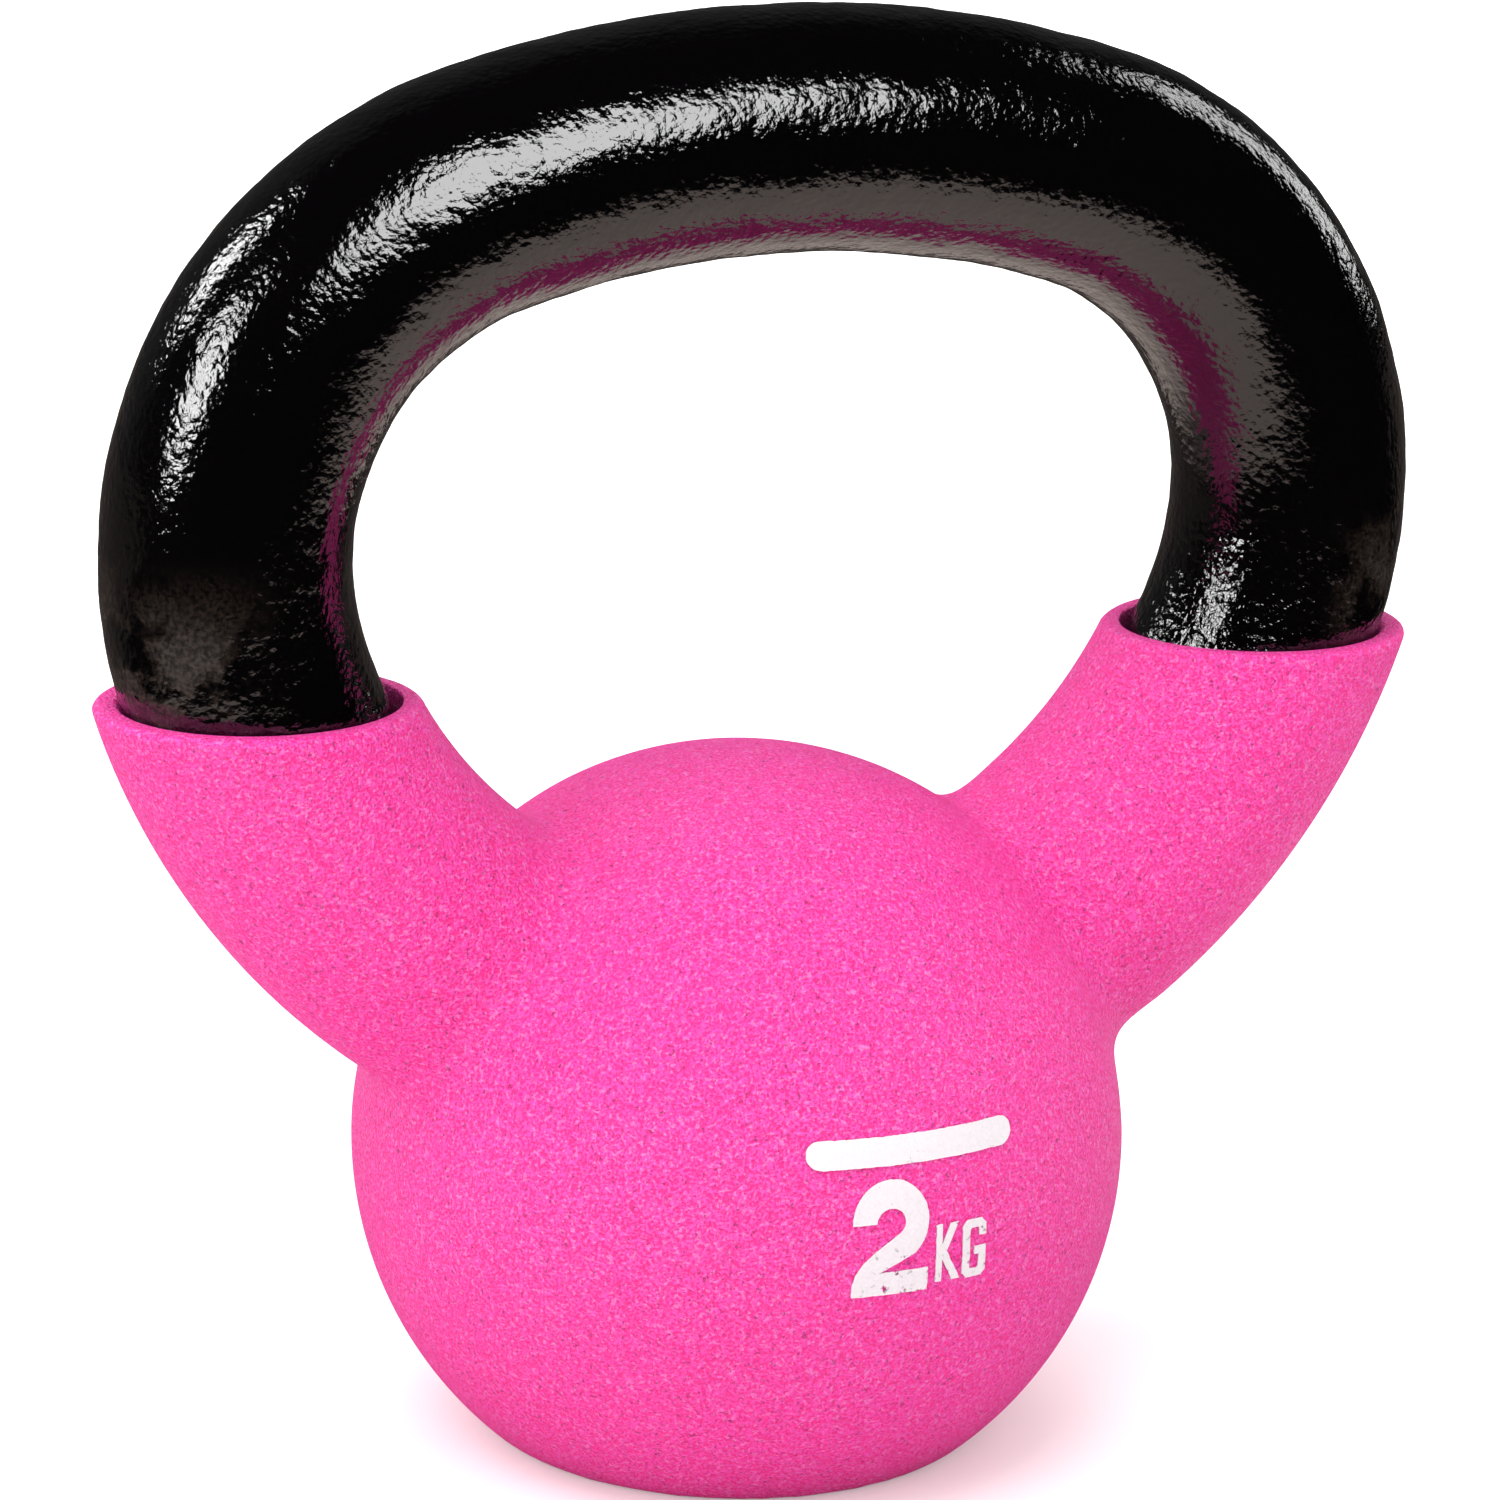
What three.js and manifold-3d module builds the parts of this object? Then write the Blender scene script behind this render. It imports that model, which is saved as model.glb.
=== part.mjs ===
// Kettlebell, 2 kg: one iron casting (ball, two horns and a looped handle) whose ball and horns wear
// a thick soft jacket, dipped on. The jacket stops at two open collars where the bare handle comes out.
// Millimetres, +Z up, the loop of the handle in the XZ plane, the printed side facing -Y.
// The origin is on the floor, below the middle of the handle.
import * as THREE from 'three';
import { mergeVertices } from 'three/addons/utils/BufferGeometryUtils.js';
import Module from 'manifold-3d';

const wasm = await Module();
wasm.setup();

// ---- driving dimensions ----
const JACKET_THICKNESS = 2.5; // soft coat over the ball
const GAP = 0.3; // between the casting and the jacket round it

const BALL_RADIUS = 37.4; // outside the jacket
const BALL_X = -2.65; // the ball is cast this far off the handle's middle
const BALL_CENTRE_Z = 28.35; // less than BALL_RADIUS, which leaves a flat foot
const BALL_CROWN = 0.8; // how much taller than round the upper half is

const BAR_RADIUS = 11.5; // bare iron handle
const HORN_RADIUS = 14.1; // outside the jacket on the two horns
const COLLAR_Z = 75.3; // level rim of the two collars

// Centre line of half the handle, from the top of the loop down into the ball: three arcs in a row.
const LINE_TOP_Z = 126.05;
const LINE_ARCS = [
  { radius: 103, turn: 17 }, // flat top, where the hand grips
  { radius: 34.4, turn: 92 }, // shoulder
  { radius: 57.3, turn: 44 }, // horn, leaning in to the ball
];

const BALL_SIDES = 40; // facets round the ball
const BALL_RINGS = 18; // facets from foot to crown
const BAR_SIDES = 24; // facets round the bar
const BAR_STEPS = 44; // facets along the whole handle line
const CUTTER = 200; // side of the block that trims the horns level

// Print on the -Y side of the ball: a weight mark under a plain bar. Places are (x, z) of each middle.
const INK_CLEARANCE = 0.1; // over the jacket's surface
const INK_THICKNESS = 0.25;
const BAR_MARK = { width: 21, height: 2.6, x: -0.4, z: 38.4 };
const DIGIT = { width: 7.5, height: 10.9, stroke: 2.5, x: -3.1, z: 30.45 };
const LETTER_K = { width: 2.6, height: 5.5, stroke: 0.8, x: 2.8, z: 28.3 };
const LETTER_G = { width: 2.6, height: 5.6, stroke: 0.8, x: 5.65, z: 28.15 };
const PRINT_REACH = 60; // how far the print's outlines are pushed towards -Y

// ---- materials ----
const finish = (color, roughness, metalness) =>
  new THREE.MeshStandardMaterial({ color, roughness, metalness });
const ironBlack = () => finish(0x0b0a0b, 0.22, 0.1);
const jacketPink = () => finish(0xff4fa6, 0.62, 0);
const inkWhite = () => finish(0xf1eaee, 0.7, 0);

// ---- solids ----
// A closed geometry as a solid that can be joined and cut.
function solid(geometry) {
  const bare = geometry.clone();
  bare.deleteAttribute('normal');
  bare.deleteAttribute('uv');
  const merged = mergeVertices(bare.index ? bare.toNonIndexed() : bare, 1e-4);
  return new wasm.Manifold(new wasm.Mesh({
    numProp: 3,
    vertProperties: new Float32Array(merged.attributes.position.array),
    triVerts: new Uint32Array(merged.index.array),
  }));
}

function meshOf(name, body, material) {
  const { vertProperties, triVerts } = body.getMesh();
  const geometry = new THREE.BufferGeometry();
  geometry.setAttribute('position', new THREE.BufferAttribute(new Float32Array(vertProperties), 3));
  geometry.setIndex(new THREE.BufferAttribute(new Uint32Array(triVerts), 1));
  geometry.computeVertexNormals();
  const mesh = new THREE.Mesh(geometry, material);
  mesh.name = name;
  return mesh;
}

// The ball, grown or shrunk by `offset`: round below its centre, a little taller above it, cut flat below.
function ball(offset) {
  const radius = BALL_RADIUS + offset;
  const footAngle = Math.asin((BALL_CENTRE_Z + offset) / radius);
  const profile = [new THREE.Vector2(0, -offset)];
  for (let ring = 0; ring <= BALL_RINGS; ring += 1) {
    const angle = -footAngle + (ring / BALL_RINGS) * (Math.PI / 2 + footAngle);
    const crown = angle > 0 ? BALL_CROWN : 0;
    const x = ring === BALL_RINGS ? 0 : radius * Math.cos(angle);
    profile.push(new THREE.Vector2(x, BALL_CENTRE_Z + (radius + crown) * Math.sin(angle)));
  }
  const geometry = new THREE.LatheGeometry(profile, BALL_SIDES);
  geometry.rotateX(Math.PI / 2);
  geometry.translate(BALL_X, 0, 0);
  return solid(geometry);
}

// The handle's centre line from one end inside the ball, over the top, to the other.
class HandleLine extends THREE.Curve {
  constructor() {
    super();
    this.half = LINE_ARCS.reduce((sum, arc) => sum + arc.radius * THREE.MathUtils.degToRad(arc.turn), 0);
  }

  getPoint(t, target = new THREE.Vector3()) {
    let left = Math.abs(2 * t - 1) * this.half;
    let heading = 0;
    let x = 0;
    let z = LINE_TOP_Z;
    for (const arc of LINE_ARCS) {
      const step = Math.min(left, arc.radius * THREE.MathUtils.degToRad(arc.turn));
      const next = heading + step / arc.radius;
      x += arc.radius * (Math.sin(next) - Math.sin(heading));
      z += arc.radius * (Math.cos(next) - Math.cos(heading));
      heading = next;
      left -= step;
    }
    return target.set(Math.sign(2 * t - 1) * x, 0, z);
  }
}

function handleTube(radius) {
  const section = new THREE.Shape();
  section.absarc(0, 0, radius, 0, 2 * Math.PI);
  return solid(new THREE.ExtrudeGeometry(section, {
    steps: BAR_STEPS,
    curveSegments: BAR_SIDES / 2,
    extrudePath: new HandleLine(),
    bevelEnabled: false,
  }));
}

function aboveCollars() {
  const block = new THREE.BoxGeometry(CUTTER, CUTTER, CUTTER);
  block.translate(0, 0, COLLAR_Z + CUTTER / 2);
  return solid(block);
}

// ---- print outlines, drawn in (x, z) round their own middle ----
function barOutline({ width, height }) {
  const shape = new THREE.Shape();
  const round = height / 2;
  const end = width / 2 - round;
  shape.moveTo(-end, -round);
  shape.lineTo(end, -round);
  shape.absarc(end, 0, round, -Math.PI / 2, Math.PI / 2);
  shape.lineTo(-end, round);
  shape.absarc(-end, 0, round, Math.PI / 2, 1.5 * Math.PI);
  return shape;
}

// A bow over the top three quarters, then a slanted leg down to a foot bar.
function digitOutline({ width, height, stroke }) {
  const outer = width / 2;
  const inner = outer - stroke;
  const bowZ = height / 2 - outer;
  const foot = -height / 2 + stroke;
  const start = THREE.MathUtils.degToRad(165);
  const finishAt = THREE.MathUtils.degToRad(-35);
  const shape = new THREE.Shape();
  shape.moveTo(outer * Math.cos(start), bowZ + outer * Math.sin(start));
  shape.absarc(0, bowZ, outer, start, finishAt, true);
  shape.lineTo(0, foot);
  shape.lineTo(outer, foot);
  shape.lineTo(outer, -height / 2);
  shape.lineTo(-outer, -height / 2);
  shape.lineTo(-outer, foot - stroke * 0.3);
  shape.lineTo(inner * Math.cos(finishAt), bowZ + inner * Math.sin(finishAt));
  shape.absarc(0, bowZ, inner, finishAt, start, false);
  shape.closePath();
  return shape;
}

function letterKOutline({ width, height, stroke }) {
  const left = -width / 2;
  const right = width / 2;
  const top = height / 2;
  const waist = left + stroke;
  const slant = stroke * 1.25;
  const points = [
    [left, -top], [waist, -top], [waist, -stroke], [right - slant, -top], [right, -top],
    [waist + stroke * 0.4, 0], [right, top], [right - slant, top], [waist, stroke], [waist, top], [left, top],
  ];
  return new THREE.Shape(points.map(([x, z]) => new THREE.Vector2(x, z)));
}

// An open box with cut corners and a tongue at mid height.
function letterGOutline({ width, height, stroke }) {
  const left = -width / 2;
  const right = width / 2;
  const top = height / 2;
  const cut = stroke * 0.6;
  const points = [
    [right, top - stroke * 1.8], [right, top - cut], [right - cut, top], [left + cut, top], [left, top - cut],
    [left, -top + cut], [left + cut, -top], [right - cut, -top], [right, -top + cut], [right, stroke * 0.4],
    [0, stroke * 0.4], [0, -stroke * 0.5], [right - stroke, -stroke * 0.5], [right - stroke, -top + stroke],
    [left + stroke, -top + stroke], [left + stroke, top - stroke], [right - stroke, top - stroke],
    [right - stroke, top - stroke * 1.8],
  ];
  return new THREE.Shape(points.map(([x, z]) => new THREE.Vector2(x, z)));
}

// An outline pushed through a thin shell of ink over the ball.
function ink(outline, x, z, shell) {
  const prism = new THREE.ExtrudeGeometry(outline, {
    depth: PRINT_REACH,
    curveSegments: 10,
    bevelEnabled: false,
  });
  prism.rotateX(Math.PI / 2);
  prism.translate(x, 0, z);
  return solid(prism).intersect(shell);
}

// ---- the kettlebell ----
const outerBar = handleTube(HORN_RADIUS);
const boreBar = handleTube(BAR_RADIUS + GAP);
const ironBar = handleTube(BAR_RADIUS);
const casting = ball(-JACKET_THICKNESS - GAP).add(ironBar);
const pocket = ball(-JACKET_THICKNESS).add(boreBar);
const jacket = ball(0).add(outerBar).subtract(aboveCollars()).subtract(pocket);
const inkShell = ball(INK_CLEARANCE + INK_THICKNESS).subtract(ball(INK_CLEARANCE));

const kettlebell = new THREE.Group();
kettlebell.add(meshOf('iron_casting', casting, ironBlack()));
kettlebell.add(meshOf('soft_jacket', jacket, jacketPink()));
const prints = [
  ['print_bar', barOutline(BAR_MARK), BAR_MARK.x, BAR_MARK.z],
  ['print_digit_2', digitOutline(DIGIT), DIGIT.x, DIGIT.z],
  ['print_letter_k', letterKOutline(LETTER_K), LETTER_K.x, LETTER_K.z],
  ['print_letter_g', letterGOutline(LETTER_G), LETTER_G.x, LETTER_G.z],
];
for (const [name, outline, x, z] of prints) {
  kettlebell.add(meshOf(name, ink(outline, x, z, inkShell), inkWhite()));
}

export default kettlebell;
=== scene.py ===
# %% [markdown]
# # A small coated kettlebell
# The real thing is one iron casting: a ball, two horns and a looped handle. The ball and horns were
# dipped in soft pink plastic, the handle was lacquered black, and a white weight mark was printed on
# the front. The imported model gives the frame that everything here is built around.

# %% Load the frame
import math

import bpy
from mathutils import Matrix, Vector


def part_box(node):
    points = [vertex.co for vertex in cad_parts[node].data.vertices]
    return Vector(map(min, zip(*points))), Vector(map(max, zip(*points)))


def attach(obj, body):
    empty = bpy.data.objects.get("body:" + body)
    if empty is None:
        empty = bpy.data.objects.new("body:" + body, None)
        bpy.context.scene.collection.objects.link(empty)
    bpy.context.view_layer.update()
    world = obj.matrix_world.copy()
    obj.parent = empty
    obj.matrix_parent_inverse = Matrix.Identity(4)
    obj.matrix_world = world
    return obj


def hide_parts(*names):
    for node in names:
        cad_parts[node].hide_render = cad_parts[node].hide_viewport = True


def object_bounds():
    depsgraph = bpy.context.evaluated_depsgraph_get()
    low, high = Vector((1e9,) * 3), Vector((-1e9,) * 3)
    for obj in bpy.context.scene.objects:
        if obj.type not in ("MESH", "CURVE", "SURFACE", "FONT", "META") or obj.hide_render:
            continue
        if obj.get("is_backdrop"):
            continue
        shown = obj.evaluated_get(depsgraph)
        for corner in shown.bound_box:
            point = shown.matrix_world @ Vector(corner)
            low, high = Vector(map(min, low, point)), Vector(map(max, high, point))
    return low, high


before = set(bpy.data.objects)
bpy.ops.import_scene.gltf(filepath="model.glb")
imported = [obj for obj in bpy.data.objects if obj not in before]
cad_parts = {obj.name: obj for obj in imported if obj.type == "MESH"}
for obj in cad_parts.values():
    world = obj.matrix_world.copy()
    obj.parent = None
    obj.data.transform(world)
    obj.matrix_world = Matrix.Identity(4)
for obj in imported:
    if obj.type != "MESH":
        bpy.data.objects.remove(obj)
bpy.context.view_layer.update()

# %% [markdown]
# The handle's centre line is three arcs in a row on each side: a flat grip, a tight shoulder and a horn
# that leans in to the ball. The same three arcs shape the bar, the jacket's horns and the bores, so they
# are written once. What the boxes of the CAD nodes can tell comes from those boxes.

# %% Driving sizes, in metres
MM = 0.001
_, iron_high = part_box("iron_casting")
_, jacket_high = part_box("soft_jacket")
COLLAR_Z = jacket_high.z
BAR_RADIUS = 11.5 * MM
HORN_RADIUS = 14.1 * MM
COAT = 2.5 * MM  # thickness of the jacket
LINE_TOP_Z = iron_high.z - BAR_RADIUS
LINE_ARCS = [(103 * MM, 17), (34.4 * MM, 92), (57.3 * MM, 44)]  # radius, degrees turned
BALL_RADIUS = jacket_high.y
BALL_CENTRE = Vector((-2.65 * MM, 0, 28.35 * MM))
BALL_CROWN = 0.8 * MM  # how much taller the ball is above its middle
print("ball", round(2 * BALL_RADIUS / MM, 1), "mm across, collars at", round(COLLAR_Z / MM, 1), "mm")


# %% Where the centre line is
def line_at(turned):
    """Centre and turning centre of the handle line where it has turned by so many degrees, +X side."""
    x, z, heading = 0.0, LINE_TOP_Z, 0.0
    for radius, turn in LINE_ARCS:
        step = min(turn, turned - math.degrees(heading))
        hub = Vector((x - radius * math.sin(heading), 0, z - radius * math.cos(heading)))
        heading += math.radians(step)
        x = hub.x + radius * math.sin(heading)
        z = hub.z + radius * math.cos(heading)
        if math.degrees(heading) >= turned - 1e-6:
            break
    return Vector((x, 0, z)), hub


WHOLE_TURN = sum(turn for _, turn in LINE_ARCS)
TENTHS = range(900, 1400)  # tenths of a degree to look through for the collar
collar_turn = next(tenth / 10 for tenth in TENTHS if line_at(tenth / 10)[0].z < COLLAR_Z)
collar_centre = line_at(collar_turn)[0]
print("collar centre", [round(c / MM, 1) for c in collar_centre], "line turned", collar_turn, "degrees")


# %% [markdown]
# Blender's operators act on whatever is selected, so each step here first deselects everything and then
# picks vertices by their place. These few helpers keep the cells that follow short.

# %% Selection and modifier helpers
SHARP = math.radians(40)  # edges sharper than this stay crisp in the shading


def only(piece):
    if bpy.context.object and bpy.context.object.mode != "OBJECT":
        bpy.ops.object.mode_set(mode="OBJECT")
    bpy.ops.object.select_all(action="DESELECT")
    piece.select_set(True)
    bpy.context.view_layer.objects.active = piece


def edit(piece, kind="VERT"):
    only(piece)
    bpy.ops.object.mode_set(mode="EDIT")
    bpy.ops.mesh.select_mode(type=kind)
    bpy.ops.mesh.select_all(action="DESELECT")


def done():
    bpy.ops.object.mode_set(mode="OBJECT")


def pick(piece, test):
    """Selects the vertices whose place passes the test, in edit mode, and leaves edit mode on."""
    edit(piece)
    done()
    for v in piece.data.vertices:
        v.select = bool(test(v.co))
    bpy.ops.object.mode_set(mode="EDIT")


def modify(piece, kind, **values):
    only(piece)
    modifier = piece.modifiers.new(kind.title(), kind)
    for name, value in values.items():
        setattr(modifier, name, value)
    bpy.ops.object.modifier_apply(modifier=modifier.name)


def settle(piece, name):
    """Puts the object's place into its mesh and names it."""
    only(piece)
    bpy.ops.object.transform_apply(location=True, rotation=True, scale=True)
    piece.name = piece.data.name = name
    return piece


def outward(piece):
    edit(piece)
    bpy.ops.mesh.select_all(action="SELECT")
    bpy.ops.mesh.remove_doubles(threshold=1e-6)
    bpy.ops.mesh.normals_make_consistent(inside=False)
    done()


def join(piece, other, operation):
    modify(piece, "BOOLEAN", object=other, operation=operation, solver="EXACT")
    bpy.data.objects.remove(other)


def report(piece):
    print(piece.name, len(piece.data.polygons), "faces",
          [round(s / MM, 1) for s in piece.dimensions], "mm")


# %% [markdown]
# The bar could be a curve with a round bevel, but the real bar bends in plain arcs, so it is spun: a
# circle is turned round the first arc's centre, then on round the next. The other half is a mirror copy.

# %% A tube along the handle line
def spun_tube(name, radius, sides, start, stretches):
    """A tube on the +X side from where the line has turned `start` degrees, through each stretch's
    (degrees turned at its end, length of a facet)."""
    centre, _ = line_at(start)
    bpy.ops.object.select_all(action="DESELECT")
    bpy.ops.mesh.primitive_circle_add(vertices=sides, radius=radius, location=centre,
                                      rotation=(0, math.radians(90 + start), 0))
    tube = settle(bpy.context.object, name)
    edit(tube)
    bpy.ops.mesh.select_all(action="SELECT")
    for stop, step in stretches:
        arc_start = 0
        for arc_radius, turn in LINE_ARCS:
            low, high = max(arc_start, start), min(arc_start + turn, stop)
            arc_start += turn
            if high > low:
                count = max(2, round(math.radians(high - low) * arc_radius / step))
                bpy.ops.mesh.spin(steps=count, angle=math.radians(high - low),
                                  center=line_at(high)[1], axis=(0, -1, 0))
        start = stop
    done()
    return tube


def cap(tube):
    edit(tube, "EDGE")
    bpy.ops.mesh.select_non_manifold()
    bpy.ops.mesh.fill_holes(sides=0)
    done()
    outward(tube)


def mirrored(tube):
    modify(tube, "MIRROR", use_axis=(True, False, False), use_mirror_merge=True, merge_threshold=1e-5)
    return tube


# %% [markdown]
# The ball is the weight itself. It stands on a flat foot and is a touch taller above its middle. The same
# ball, drawn in by a wall's thickness, is the iron core and the pocket that it fills, so a function makes
# all three. A UV sphere is stretched above its middle and bisected level for the foot, which also fills
# the cut.

# %% A ball with a flat foot
def ball(name, inset, segments, rings):
    """The ball drawn in by `inset`: round below its middle, a little taller above, cut flat below."""
    bpy.ops.object.select_all(action="DESELECT")
    bpy.ops.mesh.primitive_uv_sphere_add(segments=segments, ring_count=rings, radius=BALL_RADIUS - inset,
                                         location=BALL_CENTRE)
    piece = settle(bpy.context.object, name)
    pick(piece, lambda co: co.z > BALL_CENTRE.z + 1e-6)
    taller = 1 + BALL_CROWN / (BALL_RADIUS - inset)
    bpy.ops.transform.resize(value=(1, 1, taller), center_override=BALL_CENTRE)
    bpy.ops.mesh.select_all(action="SELECT")
    bpy.ops.mesh.bisect(plane_co=(0, 0, inset), plane_no=(0, 0, 1), clear_inner=True, use_fill=True)
    done()
    return piece


# %% [markdown]
# The jacket is one skin over ball and horns. A subdivision cage could give the same blend, but the ball
# and the horns are true round shapes, so they are made true and united, and a fine voxel remesh then
# turns the sharp valley between them into an even mesh that can be smoothed.

# %% The jacket's outer body
HORN_ABOVE_COLLAR = 16  # degrees of the line left standing above the collars, to be cut level
VOXEL = 0.65 * MM
EVEN_PASSES = 6  # smoothing of the whole skin, to lose the voxel steps
VALLEY_PASSES = 170  # smoothing of the valleys alone
FILLET_REACH, FILLET_NARROW = 9 * MM, 2.5 * MM  # at the front and back, and in between
VALLEY_SIDE = 11 * MM  # how far in front or behind the fillet has its full reach
VALLEY_FADE = 0.7  # below 1 the smoothing stays strong for longer before it fades
body = ball("soft_jacket_skin", inset=0, segments=128, rings=96)
horns = spun_tube("horns", HORN_RADIUS, sides=96, start=collar_turn - HORN_ABOVE_COLLAR,
                  stretches=[(WHOLE_TURN, 1 * MM)])
cap(horns)
horns = mirrored(horns)
outward(horns)
join(body, horns, "UNION")
modify(body, "REMESH", mode="VOXEL", voxel_size=VOXEL)
report(body)


# %% [markdown]
# Plastic pools in the valleys, so ball and horn run into each other without an edge, widest in front and
# behind. A bevel on the joint would be even all round. Smoothing with a vertex group lets the width vary:
# the group is 1 where both surfaces meet and fades with the distance from them.

# %% Soften the valleys between ball and horns
def tube_distance(co):
    """How far a point is from the handle's centre line, in the loop's half it lies in."""
    return min((Vector((abs(co.x), co.y, co.z)) - spot).length for spot in line_spots)


first_spot = int(2 * collar_turn) - 20  # in half degrees, a little above the collar
line_spots = [line_at(half / 2)[0] for half in range(first_spot, 2 * WHOLE_TURN + 1)]


def valley_share(co):
    """1 where the ball meets a horn, fading out around it: wide in front and behind, narrow between."""
    off_ball = abs((co - BALL_CENTRE).length - BALL_RADIUS)
    off_horn = abs(tube_distance(co) - HORN_RADIUS)
    aside = min(1.0, abs(co.y) / VALLEY_SIDE)
    reach = FILLET_NARROW + (FILLET_REACH - FILLET_NARROW) * aside
    return max(0.0, 1 - max(off_ball, off_horn) / reach) ** VALLEY_FADE


valley = body.vertex_groups.new(name="valley")
for v in body.data.vertices:
    share = valley_share(v.co)
    if share > 0:
        valley.add([v.index], share, "REPLACE")
modify(body, "SMOOTH", factor=0.5, iterations=EVEN_PASSES)
modify(body, "SMOOTH", factor=0.5, iterations=VALLEY_PASSES, vertex_group="valley")
report(body)

# %% [markdown]
# Each collar is cut level, with a soft rounded lip, and the bar stands in it with a narrow gap. A boolean
# with a lip-shaped cutter could do it, but the cut rim is already a clean loop, so it is extruded inwards
# step by step along the lip's profile and down into the bore. Each step leans with the horn.

# %% Level collars with rounded lips
LIP_ROUND = 0.9 * MM
LIP_FLAT = 0.9 * MM
LIP_INNER_ROUND = 0.4 * MM
LIP_STEP = 15
BORE_TAPER = 0.3 * MM  # how far the bore narrows below the lip
BORE_MOUTH = 1.5 * MM  # half of the taper is done at this depth
BORE_DEPTH = 6.5 * MM
SLIVER = 0.08 * MM  # shorter edges than this are merged after the cut
BORE_SHIFT = 0.4 * MM  # how far the collar's opening sits towards the hand, off the bar's middle
LEAN = math.tan(math.radians(collar_turn - 90))  # how fast the horn moves in as it goes down


def lip_profile():
    """(how far in from the horn's skin, height over the collar) along the lip, every LIP_STEP degrees."""
    steps = [(LIP_ROUND * (1 - math.cos(math.radians(a))), LIP_ROUND * (math.sin(math.radians(a)) - 1))
             for a in range(LIP_STEP, 91, LIP_STEP)]
    inner = LIP_ROUND + LIP_FLAT
    steps += [(inner + LIP_INNER_ROUND * math.sin(math.radians(a)),
               LIP_INNER_ROUND * (math.cos(math.radians(a)) - 1)) for a in range(0, 76, LIP_STEP)]
    wall = steps[-1][0]
    steps += [(wall + BORE_TAPER / 2, -BORE_MOUTH), (wall + BORE_TAPER, -BORE_DEPTH)]
    return steps


cut = COLLAR_Z - LIP_ROUND
edit(body)
bpy.ops.mesh.select_all(action="SELECT")
bpy.ops.mesh.bisect(plane_co=(0, 0, cut), plane_no=(0, 0, 1), clear_outer=True)
bpy.ops.mesh.select_all(action="SELECT")
bpy.ops.mesh.remove_doubles(threshold=SLIVER)
done()
for side in (-1, 1):
    edit(body)
    bpy.ops.mesh.select_non_manifold()
    done()
    rim = {v.index for v in body.data.vertices if v.select and v.co.x * side > 0}
    ends = [f(body.data.vertices[n].co.x for n in rim) for f in (min, max)]
    edit(body)
    done()
    for v in body.data.vertices:
        v.select = v.index in rim
    bpy.ops.object.mode_set(mode="EDIT")
    bpy.ops.transform.resize(value=(1, 1, 0), center_override=(0, 0, cut))
    middle = Vector((sum(ends) / 2, 0, cut))
    half_length = (ends[1] - ends[0]) / 2
    reach_in, height = 0.0, cut
    for step_in, over in lip_profile():
        z = COLLAR_Z + over
        shift = Vector((side * LEAN * (z - height), 0, z - height))
        bpy.ops.mesh.extrude_region_move(TRANSFORM_OT_translate={"value": shift})
        middle += shift
        bpy.ops.transform.resize(value=((half_length - step_in) / (half_length - reach_in),
                                        (HORN_RADIUS - step_in) / (HORN_RADIUS - reach_in), 1),
                                 center_override=middle)
        across = (step_in - reach_in) / (HORN_RADIUS - BAR_RADIUS)
        shift = Vector((-side * BORE_SHIFT * across, 0, 0))
        bpy.ops.transform.translate(value=shift)
        middle += shift
        reach_in, height = step_in, z
    bpy.ops.mesh.edge_face_add()
    done()
outward(body)
report(body)

# %% [markdown]
# The jacket is an open shell of 2.5 mm. Solidify would fold up in the tight valleys, so the inside is cut
# away with the core's and the bar's own shapes, a hair larger than the iron.

# %% Hollow the jacket
GAP = 0.3 * MM  # between the iron and the inside of the jacket
pocket = ball("pocket", inset=COAT, segments=64, rings=48)
bores = spun_tube("bores", BAR_RADIUS + GAP, sides=48, start=collar_turn + 3,
                  stretches=[(WHOLE_TURN, 3 * MM)])
cap(bores)
bores = mirrored(bores)
outward(bores)
join(pocket, bores, "UNION")
join(body, pocket, "DIFFERENCE")
outward(body)
report(body)
only(body)
bpy.ops.object.shade_smooth_by_angle(angle=SHARP)

# %% [markdown]
# The casting is one piece of iron: the bar, finely divided where it is bare so that its skin can carry
# lumps, and the ball core that nobody sees but that carries the weight.

# %% The casting: ball core and bar in one piece
FINE_END = collar_turn + 8  # degrees turned where the bar is out of sight in the jacket
casting = spun_tube("iron_casting_skin", BAR_RADIUS, sides=160, start=0,
                    stretches=[(FINE_END, 0.42 * MM), (WHOLE_TURN, 3 * MM)])
casting = mirrored(casting)
cap(casting)
core = ball("core", inset=COAT + GAP, segments=64, rings=48)
join(casting, core, "UNION")
report(casting)

# %% [markdown]
# Sand casting leaves slow waves and small lumps. They could be bump alone, but then the outline would stay
# perfect, so two clouds textures displace the mesh, only where the bar is bare.

# %% Sand-cast lumps under the lacquer
HIDDEN_BELOW = COLLAR_Z - 6 * MM
bare = casting.vertex_groups.new(name="bare")
bare.add([v.index for v in casting.data.vertices if v.co.z > HIDDEN_BELOW], 1.0, "REPLACE")
for name, size, height in (("slow_waves", 8 * MM, 0.3 * MM), ("lumps", 1.8 * MM, 0.12 * MM)):
    texture = bpy.data.textures.new(name, "CLOUDS")
    texture.noise_scale = size
    texture.noise_depth = 1
    modify(casting, "DISPLACE", texture=texture, texture_coords="LOCAL", strength=height, mid_level=0.5,
           vertex_group="bare")
report(casting)
only(casting)
bpy.ops.object.shade_smooth()
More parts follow.
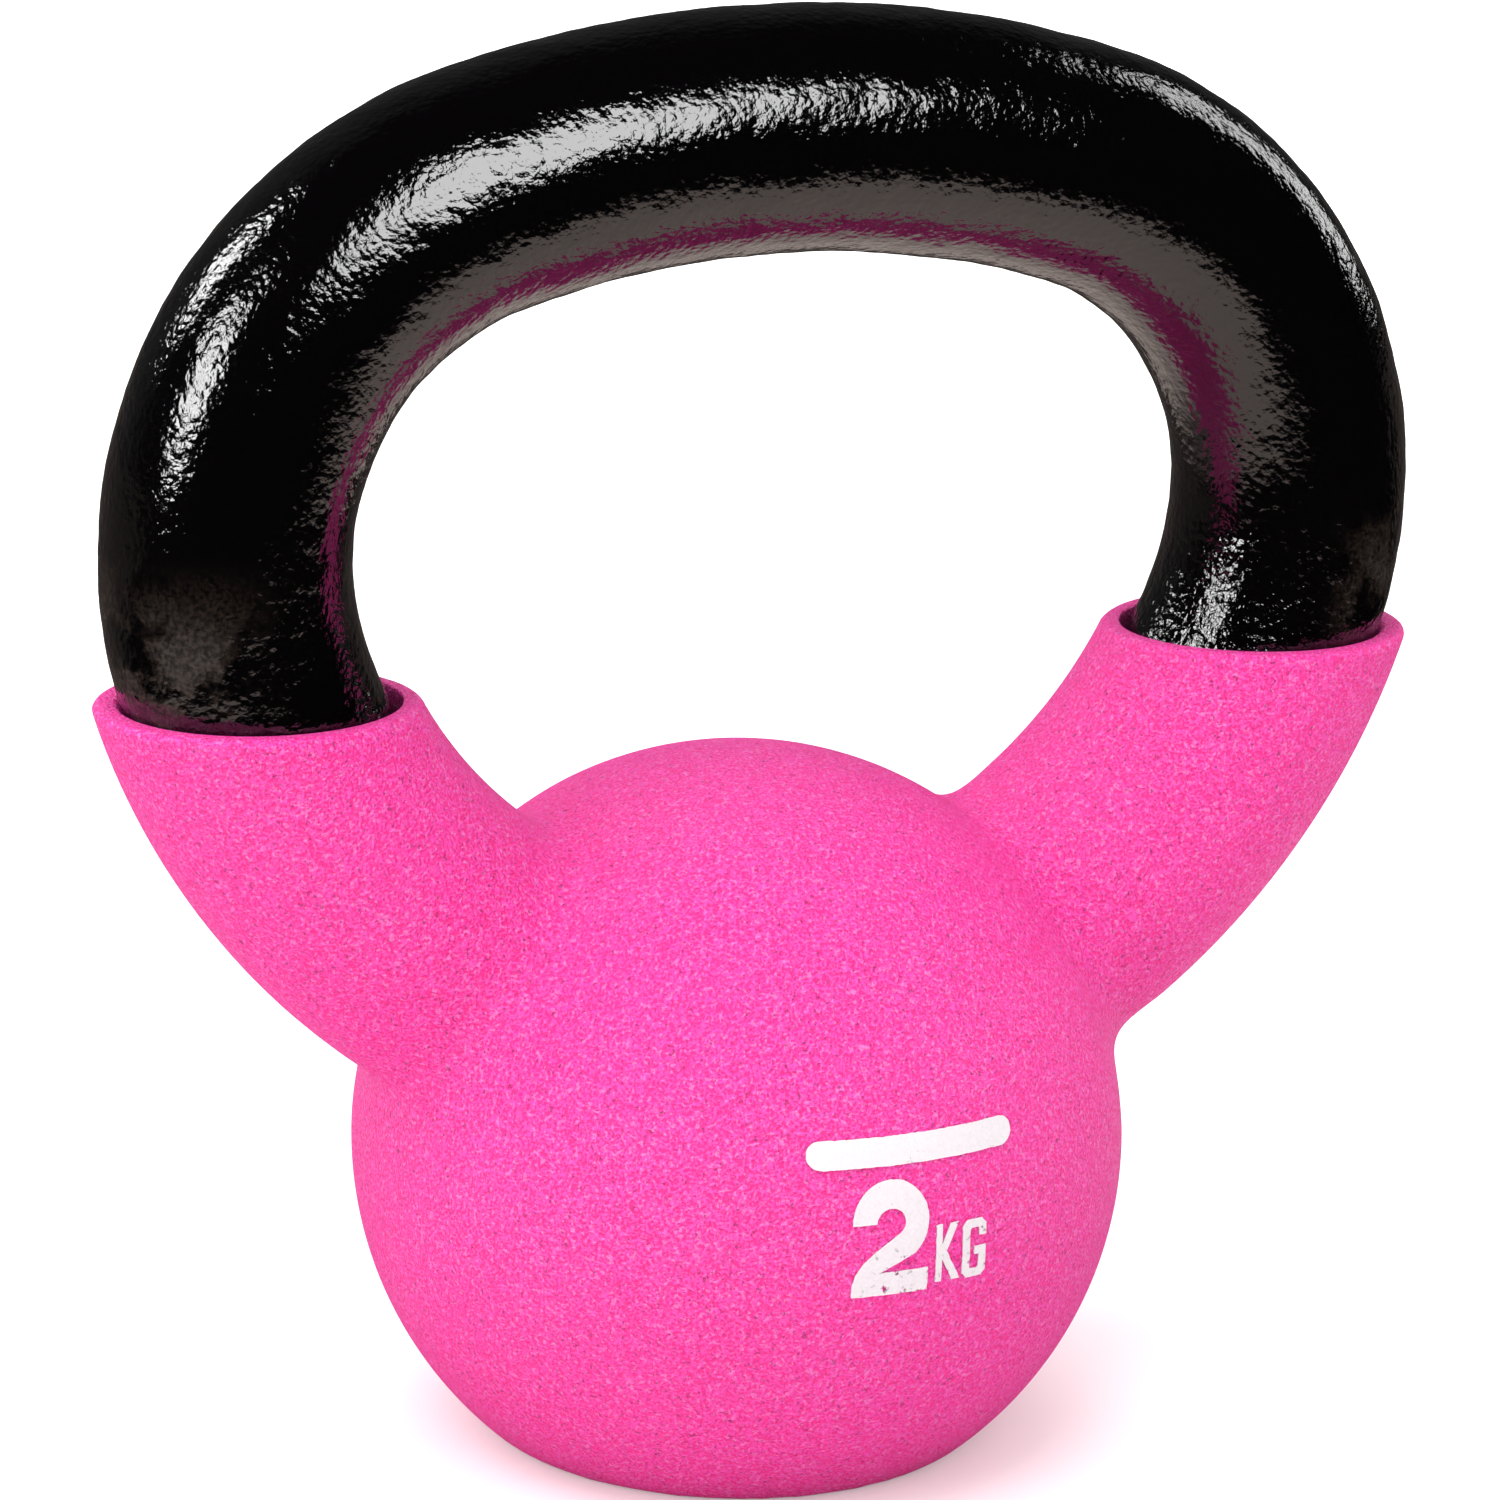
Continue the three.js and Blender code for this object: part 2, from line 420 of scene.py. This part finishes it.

# %% [markdown]
# The weight mark is screen printed: a film of white ink a tenth of a millimetre thick. It could be painted
# in the jacket's material, but as thin geometry it keeps its crisp edge in every view.
# Each mark starts as a flat outline facing -Y, is scaled to its CAD node's box, cut into a grid so that it
# can bend, projected onto the jacket and given its thickness. A little noise roughens the outline.

# %% Lay a flat outline on the jacket as ink
INK_LIFT = 0.05 * MM  # clearance between the ink and the jacket
INK_THICKNESS = 0.12 * MM
INK_GRID = 0.35 * MM
INK_RAGGED = 0.16 * MM  # how much the noise moves an outline
INK_START = 10 * MM  # how far in front of the jacket a flat mark begins
ragged = bpy.data.textures.new("ragged", "CLOUDS")
ragged.noise_scale = 0.45 * MM


def fitted(piece, low, high):
    """Scales and moves a flat outline so that it fills the box between low and high, in X and Z."""
    places = [v.co for v in piece.data.vertices]
    for axis in (0, 2):
        first, last = min(p[axis] for p in places), max(p[axis] for p in places)
        piece.scale[axis] = (high[axis] - low[axis]) / (last - first)
        piece.location[axis] = (low[axis] + high[axis] - piece.scale[axis] * (first + last)) / 2
    piece.location.y = low.y - INK_START


def gridded(piece, low, high):
    """Cuts the outline by level and upright planes INK_GRID apart."""
    edit(piece)
    for axis, normal in ((0, (1, 0, 0)), (2, (0, 0, 1))):
        count = math.ceil((high[axis] - low[axis]) / INK_GRID)
        for n in range(1, count):
            place = Vector(normal) * (low[axis] + (high[axis] - low[axis]) * n / count)
            bpy.ops.mesh.select_all(action="SELECT")
            bpy.ops.mesh.bisect(plane_co=place, plane_no=normal)
    done()


def printed(piece, node):
    """Turns a flat outline into ink on the jacket, in the place of a print node."""
    low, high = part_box(node)
    only(piece)
    bpy.ops.object.convert(target="MESH")
    settle(piece, node + "_ink")
    fitted(piece, low, high)
    settle(piece, node + "_ink")
    outward(piece)
    gridded(piece, low, high)
    for axis in ("X", "Z"):
        modify(piece, "DISPLACE", texture=ragged, texture_coords="LOCAL", direction=axis,
               strength=INK_RAGGED, mid_level=0.5)
    modify(piece, "SHRINKWRAP", target=body, wrap_method="PROJECT", use_project_y=True,
           use_positive_direction=True, use_negative_direction=False, offset=INK_LIFT)
    modify(piece, "SOLIDIFY", thickness=INK_THICKNESS, offset=1)
    outward(piece)
    bpy.ops.object.shade_smooth_by_angle(angle=SHARP)
    report(piece)
    return piece


# %% [markdown]
# The digit and the G are drawn as corner points in millimetres, the K is a letter of Blender's own font
# made bolder, and the bar is a round-ended strip.

# %% Outlines of the marks
LETTER_SIZE = 8 * MM
LETTER_BOLDER = 0.25 * MM  # how far a letter's outline is pushed out
DIGIT_WIDTH = 7.6
DIGIT_BOWL = (3.8, 6.7)  # centre of the bowl
DIGIT_OUTER, DIGIT_INNER = (3.8, 3.9), (1.45, 1.3)  # half axes of the bowl
DIGIT_FOOT = 2.15  # thickness of the foot


def bowl_arc(reach_x, reach_z, start, stop):
    angles = range(start, stop, 10 if stop > start else -10)
    return [(DIGIT_BOWL[0] + reach_x * math.cos(math.radians(a)),
             DIGIT_BOWL[1] + reach_z * math.sin(math.radians(a))) for a in angles]


def digit_outline():
    """A heavy figure two: a bowl, a slanting neck and a foot."""
    foot = [(2.65, DIGIT_FOOT), (DIGIT_WIDTH, DIGIT_FOOT), (DIGIT_WIDTH, 0), (0, 0)]
    neck = [(0, 1.2), (0.3, 2.1), (1.0, 3.1), (2.2, 4.1)]
    return bowl_arc(*DIGIT_OUTER, 180, -51) + foot + neck + bowl_arc(*DIGIT_INNER, -50, 181)


def letter_g_outline():
    """A narrow squared letter with cut corners."""
    right, top, stroke = 2.6, 5.5, 0.8
    corner, inner = 0.5, 0.95  # how far the outer and the inner corners are cut
    tip, bar_top, bar_under, bar_end = 3.9, 2.9, 2.15, 1.3
    outside = [(right, tip), (right, top - corner), (right - corner, top), (corner, top), (0, top - corner),
               (0, corner), (corner, 0), (right - corner, 0), (right, corner)]
    tongue = [(right, bar_top), (bar_end, bar_top), (bar_end, bar_under), (right - stroke, bar_under)]
    inside = [(right - stroke, inner), (right - inner, stroke), (inner, stroke), (stroke, inner),
              (stroke, top - inner), (inner, top - stroke), (right - inner, top - stroke),
              (right - stroke, top - inner), (right - stroke, tip)]
    return outside + tongue + inside


def flat_outline(points):
    curve = bpy.data.curves.new("outline", "CURVE")
    curve.dimensions = "2D"
    curve.fill_mode = "BOTH"
    spline = curve.splines.new("POLY")
    spline.points.add(len(points) - 1)
    for point, (x, z) in zip(spline.points, points):
        point.co = (x * MM, z * MM, 0, 1)
    spline.use_cyclic_u = True
    piece = bpy.data.objects.new("outline", curve)
    bpy.context.scene.collection.objects.link(piece)
    piece.rotation_euler = (math.radians(90), 0, 0)
    return piece


def letter(text):
    bpy.ops.object.select_all(action="DESELECT")
    bpy.ops.object.text_add(rotation=(math.radians(90), 0, 0))
    piece = bpy.context.object
    piece.data.body = text
    piece.data.size = LETTER_SIZE
    piece.data.resolution_u = 6
    piece.data.offset = LETTER_BOLDER
    return piece


def round_bar(length, height):
    half = height / 2
    ends = []
    for side, turns in ((1, range(0, 181, 12)), (-1, range(180, -1, -12))):
        for turn in turns:
            out, up = math.sin(math.radians(turn)), math.cos(math.radians(turn))
            ends.append((side * (length / 2 - half + half * out), half * up))
    return flat_outline(ends)


digit = printed(flat_outline(digit_outline()), "print_digit_2")
letter_k = printed(letter("K"), "print_letter_k")
letter_g = printed(flat_outline(letter_g_outline()), "print_letter_g")
bar_low, bar_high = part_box("print_bar")
bar_length, bar_height = ((bar_high[axis] - bar_low[axis]) / MM for axis in (0, 2))
mark = printed(round_bar(bar_length, bar_height), "print_bar")

# %% [markdown]
# Three finishes are on this object: soft matt plastic, gloss lacquer and ink. They share two effects,
# each a node group built once: `grain` is fine noise, and `patches` makes soft-edged areas or, where
# little is covered, small dots. The groups give values only, and the shader stays in each material.

# %% Small helpers for nodes
def put(tree, kind, inputs=(), **settings):
    """Adds a node. An input given a socket is linked to it, and any other value is set."""
    made = tree.nodes.new("ShaderNode" + kind)
    for name, value in settings.items():
        setattr(made, name, value)
    for key, value in dict(inputs).items():
        if isinstance(value, bpy.types.NodeSocket):
            tree.links.new(value, made.inputs[key])
        else:
            made.inputs[key].default_value = value
    return made


def maths(tree, operation, *values):
    return put(tree, "Math", enumerate(values), operation=operation).outputs[0]


def ramp(tree, value, low, high, out_low=0.0, out_high=1.0):
    """A smooth step from out_low to out_high as the value goes from low to high."""
    return put(tree, "MapRange", {"Value": value, "From Min": low, "From Max": high, "To Min": out_low,
                                  "To Max": out_high}, interpolation_type="SMOOTHSTEP").outputs[0]


def tint(tree, share, first, second):
    """Goes from the first colour to the second by a share."""
    return put(tree, "Mix", {0: share, 6: first, 7: second}, data_type="RGBA").outputs[2]


def new_group(name, inputs, outputs):
    tree = bpy.data.node_groups.new(name, "ShaderNodeTree")
    for title, kind in inputs:
        tree.interface.new_socket(name=title, in_out="INPUT", socket_type="NodeSocket" + kind)
    for title in outputs:
        tree.interface.new_socket(name=title, in_out="OUTPUT", socket_type="NodeSocketFloat")
    return tree, tree.nodes.new("NodeGroupInput").outputs, tree.nodes.new("NodeGroupOutput").inputs


def use(tree, group, output, **inputs):
    """Places a shared group and gives one of its outputs."""
    made = put(tree, "Group", node_tree=group)
    for name, value in inputs.items():
        if isinstance(value, bpy.types.NodeSocket):
            tree.links.new(value, made.inputs[name])
        else:
            made.inputs[name].default_value = value
    return made.outputs[output]


def share_of(tree, mask, share):
    """The mask with only part of its strength."""
    return maths(tree, "MULTIPLY", mask, share)


def new_material(name):
    material = bpy.data.materials.new(name)
    material.use_nodes = True
    return material, material.node_tree, material.node_tree.nodes["Principled BSDF"]


def wear(pieces, material):
    for piece in pieces:
        piece.data.materials.clear()
        piece.data.materials.append(material)
    print(material.name, "on", [piece.name for piece in pieces])


# %% Shared effects
grain, given, gives = new_group("grain", [("Vector", "Vector"), ("Size", "Float"), ("Contrast", "Float")],
                                ["Value"])
noise = put(grain, "TexNoise", {"Vector": given["Vector"], "Scale": maths(grain, "DIVIDE", 1, given["Size"]),
                                "Detail": 2.0, "Roughness": 0.55})
centred = maths(grain, "SUBTRACT", noise.outputs[0], 0.5)
stretched = maths(grain, "MULTIPLY_ADD", centred, given["Contrast"], 0.5)
grain.links.new(stretched, gives["Value"])

patches, given, gives = new_group("patches", [("Vector", "Vector"), ("Size", "Float"), ("Cover", "Float"),
                                              ("Softness", "Float")], ["Mask"])
noise = put(patches, "TexNoise", {"Vector": given["Vector"],
                                  "Scale": maths(patches, "DIVIDE", 1, given["Size"]), "Detail": 5.0,
                                  "Roughness": 0.6})
edge = maths(patches, "SUBTRACT", 1, given["Cover"])
first = maths(patches, "SUBTRACT", edge, given["Softness"])
last = maths(patches, "ADD", edge, given["Softness"])
patches.links.new(ramp(patches, noise.outputs[0], first, last), gives["Mask"])

# %% [markdown]
# The jacket is dipped vinyl: a saturated pink with a fine, dusty grain and small pinholes where air bubbles
# burst. Bump makes the grain and sinks the pinholes, and the same masks tint the colour: the pinholes are
# darkened as painted shade, and paler glints are painted highlights where the grain would catch light.
# The glints are drawn from another place in the noise, so that they don't fall on the pinholes.

# %% Pink coat
DEEP_PINK, PALE_PINK = (0.96, 0.0, 0.26, 1), (1.0, 0.062, 0.48, 1)
CLOUD_PINK = (1.0, 0.03, 0.37, 1)
PAINTED_GLINT_PINK = (1.0, 0.25, 0.65, 1)
PINHOLE_PAINTED_SHADE = (0.42, 0.0, 0.15, 1)
coat, tree, shader = new_material("dipped_vinyl")
place = put(tree, "TexCoord").outputs["Object"]
elsewhere = put(tree, "VectorMath", {0: place, 1: (1.0, 2.0, 3.0)}, operation="ADD").outputs[0]
dust = use(tree, grain, "Value", Vector=place, Size=0.3 * MM, Contrast=8)
peel = use(tree, grain, "Value", Vector=place, Size=1.3 * MM, Contrast=1.6)
cloud = use(tree, patches, "Mask", Vector=place, Size=14 * MM, Cover=0.5, Softness=0.25)
pinholes = use(tree, patches, "Mask", Vector=place, Size=0.5 * MM, Cover=0.355, Softness=0.03)
painted_glints = use(tree, patches, "Mask", Vector=elsewhere, Size=0.45 * MM, Cover=0.41, Softness=0.04)
colour = tint(tree, dust, DEEP_PINK, PALE_PINK)
colour = tint(tree, share_of(tree, cloud, 0.25), colour, CLOUD_PINK)
# painted highlight: the glints lighten the colour where the grain would catch light
colour = tint(tree, share_of(tree, painted_glints, 0.6), colour, PAINTED_GLINT_PINK)
# painted shade: the pinholes darken the colour, as shade in the pits that the bump sinks
colour = tint(tree, share_of(tree, pinholes, 0.75), colour, PINHOLE_PAINTED_SHADE)
tree.links.new(colour, shader.inputs["Base Color"])
tree.links.new(ramp(tree, dust, 0, 1, out_low=0.62, out_high=0.46), shader.inputs["Roughness"])
height = maths(tree, "MULTIPLY_ADD", peel, 1.4, maths(tree, "SUBTRACT", dust, pinholes))
bump = put(tree, "Bump", {"Height": height, "Distance": 0.07 * MM, "Strength": 1.0})
tree.links.new(bump.outputs[0], shader.inputs["Normal"])
shader.inputs["Specular IOR Level"].default_value = 0.5
wear([body], coat)

# %% [markdown]
# The lacquer is thin and glossy, so it follows the sand-cast skin: every reflection breaks into torn
# edges and sparkles. Lumps of four sizes do this, the two larger ones in the mesh and the two finer ones as
# bump, which is stronger low on the right leg. Low on the outer sides there are dull, rougher patches, and
# there a brownish painted reflection is tinted into the colour.

# %% Black lacquer
LEG_TOP, LEG_BELOW = 92 * MM, 80 * MM  # the leg's own effects start and are full at these heights
OUTER_START, OUTER_FULL = 52 * MM, 60 * MM  # how far out the rough patches with a painted reflection are
LACQUER_BLACK = (0.001, 0.0008, 0.001, 1)
PAINTED_REFLECTION_DARK, PAINTED_REFLECTION_BROWN = (0.006, 0.004, 0.003, 1), (0.04, 0.027, 0.02, 1)
lacquer, tree, shader = new_material("black_lacquer")
place = put(tree, "TexCoord").outputs["Object"]
domes = put(tree, "TexVoronoi", {"Vector": place, "Scale": 1 / (0.8 * MM), "Smoothness": 0.3},
            feature="SMOOTH_F1").outputs["Distance"]
pits = use(tree, grain, "Value", Vector=place, Size=0.5 * MM, Contrast=1.0)
across, _, up = put(tree, "SeparateXYZ", {0: place}).outputs
outer = ramp(tree, maths(tree, "ABSOLUTE", across), OUTER_START, OUTER_FULL)
low = ramp(tree, up, LEG_TOP, LEG_BELOW)
dull_patch_with_painted_reflection = use(tree, patches, "Mask", Vector=place, Size=7 * MM, Cover=0.50, Softness=0.07)
dull_patch_with_painted_reflection = maths(tree, "MULTIPLY", dull_patch_with_painted_reflection, maths(tree, "MULTIPLY", outer, low))
# painted reflection: a grainy dull brown tinted into the colour in the rough patches low on the outer sides
reflection_grain = use(tree, grain, "Value", Vector=place, Size=0.4 * MM, Contrast=4)
painted_reflection_colour = tint(tree, reflection_grain, PAINTED_REFLECTION_DARK, PAINTED_REFLECTION_BROWN)
tree.links.new(tint(tree, dull_patch_with_painted_reflection, LACQUER_BLACK, painted_reflection_colour), shader.inputs["Base Color"])
tree.links.new(ramp(tree, dull_patch_with_painted_reflection, 0, 1, out_low=0.07, out_high=0.36), shader.inputs["Roughness"])
rough_leg = maths(tree, "MULTIPLY", low, ramp(tree, across, 10 * MM, 30 * MM, out_high=0.7))
height = maths(tree, "SUBTRACT", pits, domes)
height = maths(tree, "MULTIPLY", height, maths(tree, "ADD", rough_leg, 1))
bump = put(tree, "Bump", {"Height": height, "Distance": 0.055 * MM, "Strength": 1.0})
shader.inputs["IOR"].default_value = 1.65
tree.links.new(bump.outputs[0], shader.inputs["Normal"])
wear([casting], lacquer)

# %% [markdown]
# The ink is off-white and flat. Pinholes go right through it, so there the alpha is nothing and the pink
# shows. They are denser low in the mark, where the screen pressed less.

# %% White ink
MARK_LOW, MARK_HIGH = 26 * MM, 33 * MM  # the holes get fewer between these heights
INK_THIN, INK_FULL = (0.68, 0.63, 0.66, 1), (0.80, 0.74, 0.78, 1)
ink, tree, shader = new_material("screen_ink")
place = put(tree, "TexCoord").outputs["Object"]
up = put(tree, "SeparateXYZ", {0: place}).outputs[2]
cover = ramp(tree, up, MARK_LOW, MARK_HIGH, out_low=0.39, out_high=0.30)
holes = use(tree, patches, "Mask", Vector=place, Size=0.8 * MM, Cover=cover, Softness=0.02)
dust = use(tree, grain, "Value", Vector=place, Size=0.3 * MM, Contrast=1.5)
tree.links.new(tint(tree, dust, INK_THIN, INK_FULL), shader.inputs["Base Color"])
tree.links.new(maths(tree, "SUBTRACT", 1, holes), shader.inputs["Alpha"])
bump = put(tree, "Bump", {"Height": dust, "Distance": 0.02 * MM, "Strength": 1.0})
tree.links.new(bump.outputs[0], shader.inputs["Normal"])
shader.inputs["Roughness"].default_value = 0.6
wear([digit, letter_k, letter_g, mark], ink)

# %% [markdown]
# Each piece now rides on the one body and stands for its CAD node, which is hidden.

# %% Hand the pieces over
hand_over = [
    (casting, "iron_casting", "black_iron"),
    (body, "soft_jacket", "pink_coat"),
    (digit, "print_digit_2", "white_ink"),
    (letter_k, "print_letter_k", "white_ink"),
    (letter_g, "print_letter_g", "white_ink"),
    (mark, "print_bar", "white_ink"),
]
for piece, cad_node, slot in hand_over:
    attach(piece, "root")
    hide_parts(cad_node)

# %% [markdown]
# The floor and the room behind it are plain and pale. Lit evenly, a floor this large would grey with
# distance, so it also glows a little for the camera alone. What the gloss mirrors matters more: to gloss
# the floor is a glow of its own, pale close by but with painted shade right under the ball and behind it
# on the left, and beyond that it is dark.

# %% Pale floor
FLOOR_NEAR, FLOOR_FAR = 0.15, 0.19  # how far from the middle the gloss sees the floor as pale
FLOOR_BACK = 0.1  # behind this the far floor is a little less dark to the gloss
HAZE_START, HAZE_FULL = 0.1, 1.0  # from the middle outwards the floor's own glow rises
CORNER_SHADE = 0.75  # how much darker the far left of the near floor looks to the gloss
UNDER_SHORT, UNDER_LONG = 50 * MM, 100 * MM  # rays this short start right above the floor; there the mirrored floor has painted shade
FLOOR_PAINT = (0.82, 0.80, 0.79, 1)
FLOOR_WARM = (1.0, 0.83, 0.76, 1)  # the pale floor as the gloss mirrors it
bpy.ops.object.select_all(action="DESELECT")
bpy.ops.mesh.primitive_plane_add(size=12)
floor = settle(bpy.context.object, "floor")
paint, tree, shader = new_material("pale_floor")
shader.inputs["Base Color"].default_value = FLOOR_PAINT
shader.inputs["Roughness"].default_value = 0.9
place = put(tree, "TexCoord").outputs["Object"]
away = put(tree, "VectorMath", {0: place}, operation="LENGTH").outputs["Value"]
across, back, _ = put(tree, "SeparateXYZ", {0: place}).outputs
path = put(tree, "LightPath").outputs
haze = ramp(tree, away, HAZE_START, HAZE_FULL, out_low=0.25)
glow = maths(tree, "MULTIPLY", path["Is Camera Ray"], haze)
own_light = put(tree, "Emission", {"Strength": glow}).outputs[0]
lit = put(tree, "AddShader", {0: shader.outputs[0], 1: own_light}).outputs[0]
dark = ramp(tree, back, 1.5 * FLOOR_BACK, FLOOR_BACK, out_low=0.08, out_high=0.005)
corner = maths(tree, "MULTIPLY", ramp(tree, across, 0.0, -0.07), ramp(tree, back, -0.02, 0.05))
open_floor = maths(tree, "SUBTRACT", 1, share_of(tree, corner, CORNER_SHADE))
# painted shade: to gloss, the floor under the piece and in the far left corner is darker
pale_with_painted_shade = ramp(tree, path["Ray Length"], UNDER_SHORT, UNDER_LONG, out_low=0.15)
pale_with_painted_shade = maths(tree, "MULTIPLY", pale_with_painted_shade, open_floor)
far = ramp(tree, away, FLOOR_NEAR, FLOOR_FAR)
mirrored_glow = put(tree, "Mix", {0: far, 2: pale_with_painted_shade, 3: dark}).outputs[0]
warm = put(tree, "Emission", {"Color": FLOOR_WARM, "Strength": mirrored_glow}).outputs[0]
shown = put(tree, "MixShader", {0: path["Is Glossy Ray"], 1: lit, 2: warm}).outputs[0]
tree.links.new(shown, tree.nodes["Material Output"].inputs["Surface"])
wear([floor], paint)
floor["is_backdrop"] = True

# %% [markdown]
# Gloss mirrors the lamps themselves, so on the lacquer their size and place draw the bright bands, and the
# rest of the room must be dark. The matt plastic instead wants wide, even light. One set of lamps can't
# serve both, so some are seen by gloss only and some by plain colour only.

# %% Soft studio lights
AIM = Vector((-2.5, -0.5, 66.7)) * MM  # what the lamps and the camera point at
LAMP_DISTANCE = 0.9


def from_angles(azimuth, elevation):
    """The direction towards a place so many degrees round from the front (-Y) and above level."""
    a, e = math.radians(azimuth), math.radians(elevation)
    return Vector((math.sin(a) * math.cos(e), -math.cos(a) * math.cos(e), math.sin(e)))


def turned_to_face(azimuth, elevation, roll=0):
    """Looking back along that direction, with its top up, rolled by so many degrees."""
    back = from_angles(azimuth, elevation)
    level = (-back).to_track_quat("-Z", "Y").to_matrix()
    return (level @ Matrix.Rotation(math.radians(roll), 3, "Z")).to_euler()


def softbox(name, azimuth, elevation, width, height, brightness, roll=0, gloss=True):
    """A softbox whose face has the given brightness, and that either gloss or plain colour sees."""
    light = bpy.data.lights.new(name, "AREA")
    light.shape = "RECTANGLE"
    light.size, light.size_y = width, height
    light.energy = brightness * math.pi * width * height
    lamp = bpy.data.objects.new(name, light)
    bpy.context.scene.collection.objects.link(lamp)
    lamp.location = AIM + from_angles(azimuth, elevation) * LAMP_DISTANCE
    lamp.rotation_euler = turned_to_face(azimuth, elevation, roll)
    lamp.visible_diffuse = not gloss
    lamp.visible_glossy = gloss


softbox("front_box", 4, 36, width=0.60, height=0.46, brightness=9.5, roll=-20)
softbox("left_box", -77, 23, width=0.26, height=0.40, brightness=20, roll=20)
softbox("left_back_box", -126, 35, width=0.13, height=0.40, brightness=15, roll=-30)
softbox("right_box", 104, 27, width=0.20, height=0.60, brightness=4)
softbox("left_light", -77, 23, width=0.50, height=0.50, brightness=2.0, gloss=False)
softbox("left_back_light", -126, 35, width=0.50, height=0.50, brightness=2.2, gloss=False)
softbox("top_light", -60, 75, width=0.70, height=0.70, brightness=4.6, gloss=False)
softbox("back_light", 170, 45, width=0.80, height=0.50, brightness=1.2, gloss=False)

# %% [markdown]
# The room is white to the camera, an even fill for plain colour and nearly black to gloss, with a faint
# wall behind the object that lifts the edges of the bar.

# %% The room
ROOM_FILL = 0.97
GLOSS_BACK_WALL = 0.05
world = bpy.data.worlds.new("studio")
bpy.context.scene.world = world
world.use_nodes = True
tree = world.node_tree
path = put(tree, "LightPath").outputs
towards = put(tree, "TexCoord").outputs["Generated"]
back = put(tree, "SeparateXYZ", {0: towards}).outputs[1]
wall = ramp(tree, back, 0.3, 0.8, out_high=GLOSS_BACK_WALL)
fill = put(tree, "Mix", {0: path["Is Glossy Ray"], 2: ROOM_FILL, 3: wall}).outputs[0]
strength = maths(tree, "MAXIMUM", path["Is Camera Ray"], fill)
tree.nodes["Background"].inputs["Color"].default_value = (1, 1, 1, 1)
tree.links.new(strength, tree.nodes["Background"].inputs["Strength"])
bpy.context.scene.view_settings.view_transform = "Standard"

# %% [markdown]
# The camera stands a little to the left of the front and a little above, half a metre away, with a long
# lens, so that the kettlebell fills the frame.

# %% Camera
CAMERA_AZIMUTH, CAMERA_ELEVATION, CAMERA_ROLL = -23.32, 15.34, 1.51
CAMERA_DISTANCE = 507.5 * MM
CAMERA_LENS = 128  # focal length in millimetres
camera_data = bpy.data.cameras.new("camera")
camera_data.lens = CAMERA_LENS
camera = bpy.data.objects.new("camera", camera_data)
bpy.context.scene.collection.objects.link(camera)
camera.location = AIM + from_angles(CAMERA_AZIMUTH, CAMERA_ELEVATION) * CAMERA_DISTANCE
camera.rotation_euler = turned_to_face(CAMERA_AZIMUTH, CAMERA_ELEVATION, CAMERA_ROLL)
bpy.context.scene.camera = camera
print("camera at", [round(c / MM) for c in camera.location], "mm")

# %% Sizes
low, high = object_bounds()
print("visual box in mm:", [round(1000 * (b - a), 1) for a, b in zip(low, high)])
